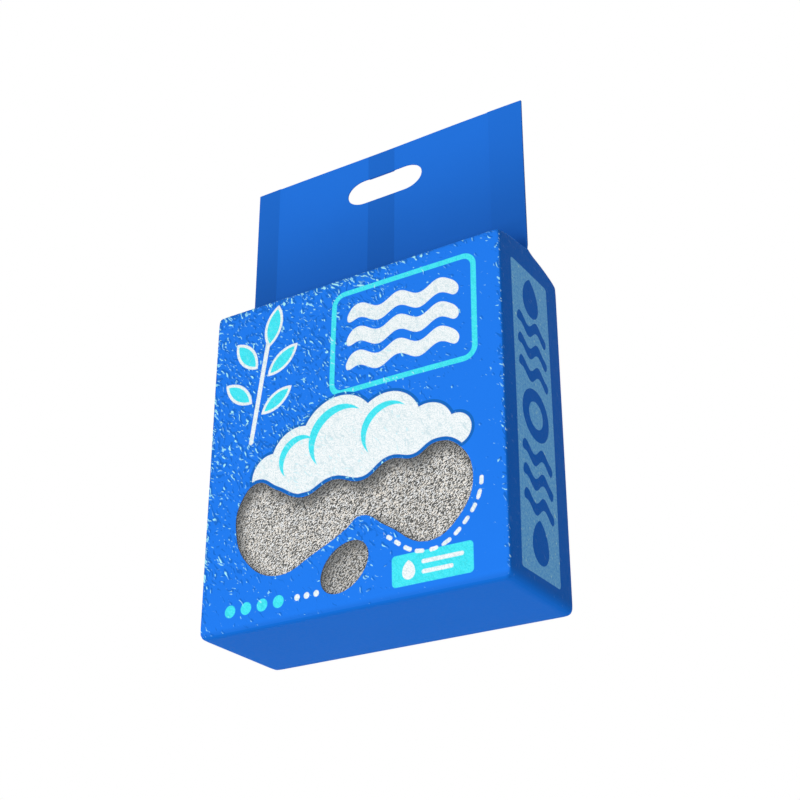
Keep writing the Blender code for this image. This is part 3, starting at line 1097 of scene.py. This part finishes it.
class LITTERBAG_OT_panes(bpy.types.Operator):
    """Makes the two clear windows of the front panel"""

    bl_idname = "litter_bag.panes"
    bl_label = "Clear Windows"

    def execute(self, context):
        film = clear_film()
        whole = flat_brick("window_blank")
        for name, points in zip(("large", "small"), window_outlines()):
            pane = copy_of(whole, f"clear_window_{name}")
            cut_with(pane, "INTERSECT", front_plug(points))
            delete_faces(pane, lambda middle: middle.y > -HALF_DEPTH + CLOSE)
            refine(pane)
            soften(pane, context.scene.litter_bag.crease_depth)
            finish_with(pane, "SOLIDIFY", thickness=FILM, offset=-1.0)
            pane.data.materials.clear()
            pane.data.materials.append(film)
            smooth_by_angle(pane, 40)
            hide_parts(f"window_film_{name}")
            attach(pane, "root")
        bpy.data.objects.remove(whole)
        return {"FINISHED"}


def litter_colour(shade, tone):
    """Grey granules: white to dark grey-brown by their tone, and darkened by painted shade where
    grain_shade is low.
    """
    ramp = shade.node("ValToRGB", tone)
    stops = ramp.color_ramp.elements
    stops[0].position, stops[0].color = 0.0, (0.035, 0.030, 0.024, 1)
    stops[1].position, stops[1].color = 1.0, (1.0, 0.98, 0.94, 1)
    for place, colour in ((0.3, (0.17, 0.155, 0.13, 1)), (0.6, (0.76, 0.735, 0.685, 1))):
        stops.new(place).color = colour
    return shade.vector("SCALE", ramp.outputs[0], scale=shade.attribute("grain_shade"))


def granule_material():
    """Loose granules, each of its own tone, with streaks that follow the slant of the grains."""
    shade = Shade("litter granules", roughness=0.9, specular=0.2)
    speck = shade.grain(shade.place, 2.2, 3.0)
    slant = shade.turned(shade.together(shade.x, shade.z), math.radians(-40))
    streak = shade.grain(slant, (0.25, 0.80, 0.0), 1.0)
    uneven = shade.line(shade.less(streak, 0.5), 1.7, shade.attribute("grain_tone"))
    tone = shade.line(shade.less(speck, 0.5), 0.35, uneven, clamp=True)
    shade.bump(shade.grain(shade.place, 4.0, 3.0), 0.6, 0.0003)
    hue = shade.ramp(shade.grain(shade.place, 0.55, 1.0), 0.35, 0.65)
    tint = shade.mix(hue, (1.03, 0.985, 0.93), (0.96, 1.0, 1.06))
    colour = shade.vector("MULTIPLY", litter_colour(shade, tone), tint)
    return shade.finish(colour, shade.line(speck, 0.2, 0.78))


def settled_material():
    """The bed between and under the granules, with painted shade towards the edges of its cells."""
    shade = Shade("settled litter", roughness=0.95, specular=0.15)
    distance, colour = shade.cells(shade.place, 0.62)
    dome_and_gap_shade = shade.less(1.0, distance)
    # Painted shade darkens each cell away from its middle, towards the gaps
    tone = shade.times(shade.line(shade.apart(colour)[0], 0.6, 0.25), dome_and_gap_shade)
    shade.bump(dome_and_gap_shade, 1.0, 0.0012)
    rough = shade.line(shade.grain(shade.place, 1.0), 0.15, 0.82)
    return shade.finish(litter_colour(shade, tone), rough)


def grain_shapes():
    """Uneven grains of unit size, each as corners and faces."""
    shapes = []
    for seed in range(GRAIN_KINDS):
        bpy.ops.object.select_all(action="DESELECT")
        bpy.ops.mesh.primitive_ico_sphere_add(subdivisions=1, radius=0.5, location=(0, 0, 0))
        grain = bpy.context.object
        bpy.ops.object.mode_set(mode="EDIT")
        bpy.ops.mesh.select_all(action="SELECT")
        bpy.ops.transform.vertex_random(offset=0.12, uniform=0.4, normal=0.0, seed=seed + 3)
        bpy.ops.object.mode_set(mode="OBJECT")
        corners = np.array([corner.co[:] for corner in grain.data.vertices])
        corners *= (1.0, 0.86 - 0.04 * seed, 0.80 + 0.05 * seed)
        shapes.append((corners, np.array([face.vertices[:] for face in grain.data.polygons])))
        bpy.data.objects.remove(grain)
    return shapes


def front_skin(x, z):
    """Depth of the front film's outer skin at a place."""
    climb = z / FRONT_HEIGHT
    return -HALF_DEPTH - FRONT_BULGE * (1 - (2 * x / BODY_WIDTH) ** 2) * 4 * climb * (1 - climb)


def rim_shade(points, places, least, most):
    """Painted light on the litter: little under the window's upper and left rim."""
    reach, _ = outline_reach(points, places + RIM_SHIFT)
    share = np.clip((RIM_START - reach) / RIM_FADE, 0, 1)
    return least + (most - least) * share * share * (3 - 2 * share)


def random_turn(chance):
    """A turn by three seeded angles, as a matrix."""
    a, b, c = (chance.uniform(0, 2 * math.pi) for _ in range(3))
    ca, sa, cb, sb, cc, sc = math.cos(a), math.sin(a), math.cos(b), math.sin(b), math.cos(c), math.sin(c)
    return np.array((
        (cb * cc, -cb * sc, sb),
        (ca * sc + sa * sb * cc, ca * cc - sa * sb * sc, -sa * cb),
        (sa * sc - ca * sb * cc, sa * cc + ca * sb * sc, ca * cb),
    ))


def grain_places(points, size, chance):
    """Stray places in rows behind a window, a little wider than its outline."""
    pitch = size * GRAIN_PITCH
    low, high = box_of(points, GRAIN_MARGIN)
    places = []
    row = 0
    z = low[1]
    while z < high[1]:
        x = low[0] + (row % 2) * pitch / 2
        while x < high[0]:
            stray_x = chance.uniform(-GRAIN_STRAY, GRAIN_STRAY) * pitch
            stray_z = chance.uniform(-GRAIN_STRAY, GRAIN_STRAY) * pitch
            places.append((x + stray_x, z + stray_z))
            x += pitch
        z += pitch * GRAIN_ROW
        row += 1
    places = np.array(places)
    gap, _ = outline_reach(points, places)
    return places[gap < GRAIN_OVERLAP]


def make_grains(name, points, size, shapes, material, seed, light_range):
    """One packed layer of grains behind a window."""
    chance = random.Random(seed)
    places = grain_places(points, size, chance)
    corners, faces, tones, shades = [], [], [], []
    total = 0
    along = np.array((math.cos(GRAIN_SLANT), 0.0, math.sin(GRAIN_SLANT)))
    slant = GRAIN_ACROSS * np.identity(3) + (GRAIN_ALONG - GRAIN_ACROSS) * np.outer(along, along)
    for (x, z), light in zip(places, rim_shade(points, places, *light_range)):
        shape, sides = shapes[chance.randrange(GRAIN_KINDS)]
        scale = size * chance.uniform(*GRAIN_SIZES)
        turn = random_turn(chance)
        depth = front_skin(x, z) + FILM + GRAIN_GAP + scale * 0.52 + chance.random() ** 2 * GRAIN_SCATTER
        corners.append(shape @ turn.T @ slant * scale + (x, depth, z))
        faces.append(sides + total)
        total += len(shape)
        tones_at_hand = [chance.uniform(*tone) for tone in GRAIN_TONES]
        tones += [chance.choices(tones_at_hand, GRAIN_SHARES)[0]] * len(shape)
        shades += [light] * len(shape)
    mesh = bpy.data.meshes.new(name)
    mesh.from_pydata(np.concatenate(corners).tolist(), [], np.concatenate(faces).tolist())
    keep_values(mesh, "grain_tone", tones)
    keep_values(mesh, "grain_shade", shades)
    mesh.materials.append(material)
    return add_object(name, mesh)


class LITTERBAG_OT_litter(bpy.types.Operator):
    """Makes the settled litter and the granules that show behind the windows"""

    bl_idname = "litter_bag.litter"
    bl_label = "Litter"

    def execute(self, context):
        low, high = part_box("litter_fill")
        middle = (low + high) / 2
        middle.z += BED_LIFT
        size = [high[axis] - low[axis] - BED_INSET[axis] for axis in range(3)]
        bed = add_divided_block("settled_litter", middle, size, BED_CELLS)
        finish_with(bed, "BEVEL", limit_method="ANGLE", width=BED_ROUNDING, segments=3)
        for corner in bed.data.vertices:
            bump = noise.noise(corner.co * BED_BUMPS) * BED_BUMP_HEIGHT
            corner.co.x *= 1 + bump / HALF_WIDTH
            corner.co.y *= 1 + bump / HALF_DEPTH
        outlines = window_outlines()
        flat = np.array([(corner.co.x, corner.co.z) for corner in bed.data.vertices])
        # Painted rim shade on the bed, as on the grains
        lit = rim_shade(outlines[0], flat, *LARGE_LIGHT) + rim_shade(outlines[1], flat, *SMALL_LIGHT)
        keep_values(bed.data, "grain_shade", lit / 2)
        bed.data.materials.append(settled_material())
        smooth_by_angle(bed, 60)
        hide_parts("litter_fill")
        pieces = [bed]
        material, shapes = granule_material(), grain_shapes()
        grain_size = context.scene.litter_bag.grain_size
        for name, points, seed, light_range in (
            ("litter_granules_large", outlines[0], 5, LARGE_LIGHT),
            ("litter_granules_small", outlines[1], 9, SMALL_LIGHT),
        ):
            pieces.append(make_grains(name, points, grain_size, shapes, material, seed, light_range))
        for piece in pieces:
            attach(piece, "root")
        return {"FINISHED"}


def floor_material():
    """A pale floor that shows from above and lets the view from below through."""
    shade = Shade("pale floor")
    above = shade.less(1.0, shade.node("NewGeometry").outputs["Backfacing"])
    shown = shade.times(shade.node("LightPath").outputs["Is Camera Ray"], above)
    clear = shade.node("BsdfTransparent").outputs[0]
    pale = shade.node("BsdfDiffuse", (0.62, 0.62, 0.62)).outputs[0]
    glow = shade.node("Emission", (1, 1, 1), 0.45).outputs[0]
    both = shade.node("AddShader", pale, glow).outputs[0]
    picked = shade.node("MixShader", shown, clear, both).outputs[0]
    shade.put(shade.tree.nodes["Material Output"].inputs["Surface"], picked)
    shade.tree.nodes.remove(shade.shader)
    return shade.material


def add_lamp(name, toward, distance, size, light):
    """A square soft lamp aimed at the bag's middle. light is what it gives a panel that faces it."""
    lamp = bpy.data.lights.new(name, "AREA")
    lamp.size = size
    lamp.energy = light * math.pi**2 * distance**2
    item = add_object(name, lamp)
    direction = Vector(toward).normalized()
    item.location = BAG_MIDDLE + direction * distance
    item.rotation_euler = direction.to_track_quat("Z", "Y").to_euler()
    item.visible_camera = False


def white_surround(room_light):
    """A world that shows white and lights the bag from all around."""
    world = bpy.data.worlds.new("white surround")
    nodes = Nodes(world)
    path = nodes.node("LightPath").outputs
    seen = nodes.most(path["Is Camera Ray"], path["Is Glossy Ray"], path["Is Transmission Ray"])
    strength = nodes.node("MapRange", seen, 0.0, 1.0, room_light, 1.0).outputs[0]
    back = nodes.tree.nodes["Background"]
    nodes.put(back.inputs["Color"], (1, 1, 1))
    nodes.put(back.inputs["Strength"], strength)
    return world


class LITTERBAG_OT_stage(bpy.types.Operator):
    """Makes the floor, the lamps, the white surround and the camera"""

    bl_idname = "litter_bag.stage"
    bl_label = "Stage"

    def execute(self, context):
        looks = context.scene.litter_bag
        scene = context.scene
        bpy.ops.object.select_all(action="DESELECT")
        bpy.ops.mesh.primitive_plane_add(size=FLOOR_SIZE, location=(0, 0, FLOOR_HEIGHT))
        floor = context.object
        floor.name = "pale_floor"
        floor.data.materials.append(floor_material())

        key = looks.key_light * KEY_LAMP_SLANT
        add_lamp("key lamp", (-0.10, -0.87, -0.44), distance=5.0, size=2.1, light=key)
        add_lamp("right lamp", (1.0, -0.25, -0.10), distance=3.0, size=1.6, light=0.12)
        add_lamp("back lamp", (-0.55, 0.72, 0.42), distance=2.6, size=1.4, light=0.60)
        scene.world = white_surround(looks.room_light)

        camera = bpy.data.cameras.new("photo camera")
        camera.lens = CAMERA_LENS
        camera.sensor_width = 36
        camera.clip_start = 0.01
        seat = add_object("photo camera", camera)
        seat.location = CAMERA_PLACE
        seat.rotation_euler = (CAMERA_TILT, 0, CAMERA_TURN)
        scene.camera = seat
        scene.view_settings.view_transform = "Standard"
        return {"FINISHED"}


class LITTERBAG_PT_panel(bpy.types.Panel):
    """Lists the bag's pieces and looks"""

    bl_idname = "LITTERBAG_PT_panel"
    bl_label = "Litter Bag"
    bl_space_type = "VIEW_3D"
    bl_region_type = "UI"
    bl_category = "Litter Bag"

    def draw(self, context):
        looks = context.scene.litter_bag
        for name in LitterBagLooks.__annotations__:
            self.layout.prop(looks, name)
        for step in STEPS:
            self.layout.operator(step.bl_idname)


STEPS = (LITTERBAG_OT_film, LITTERBAG_OT_panes, LITTERBAG_OT_litter, LITTERBAG_OT_stage)


def register():
    bpy.utils.register_class(LitterBagLooks)
    bpy.types.Scene.litter_bag = bpy.props.PointerProperty(type=LitterBagLooks)
    for part in (*STEPS, LITTERBAG_PT_panel):
        bpy.utils.register_class(part)


def unregister():
    for part in (LITTERBAG_PT_panel, *reversed(STEPS)):
        bpy.utils.unregister_class(part)
    del bpy.types.Scene.litter_bag
    bpy.utils.unregister_class(LitterBagLooks)


def main():
    register()
    bpy.ops.litter_bag.film()
    bpy.ops.litter_bag.panes()
    bpy.ops.litter_bag.litter()
    bpy.ops.litter_bag.stage()


if __name__ == "__main__":
    main()
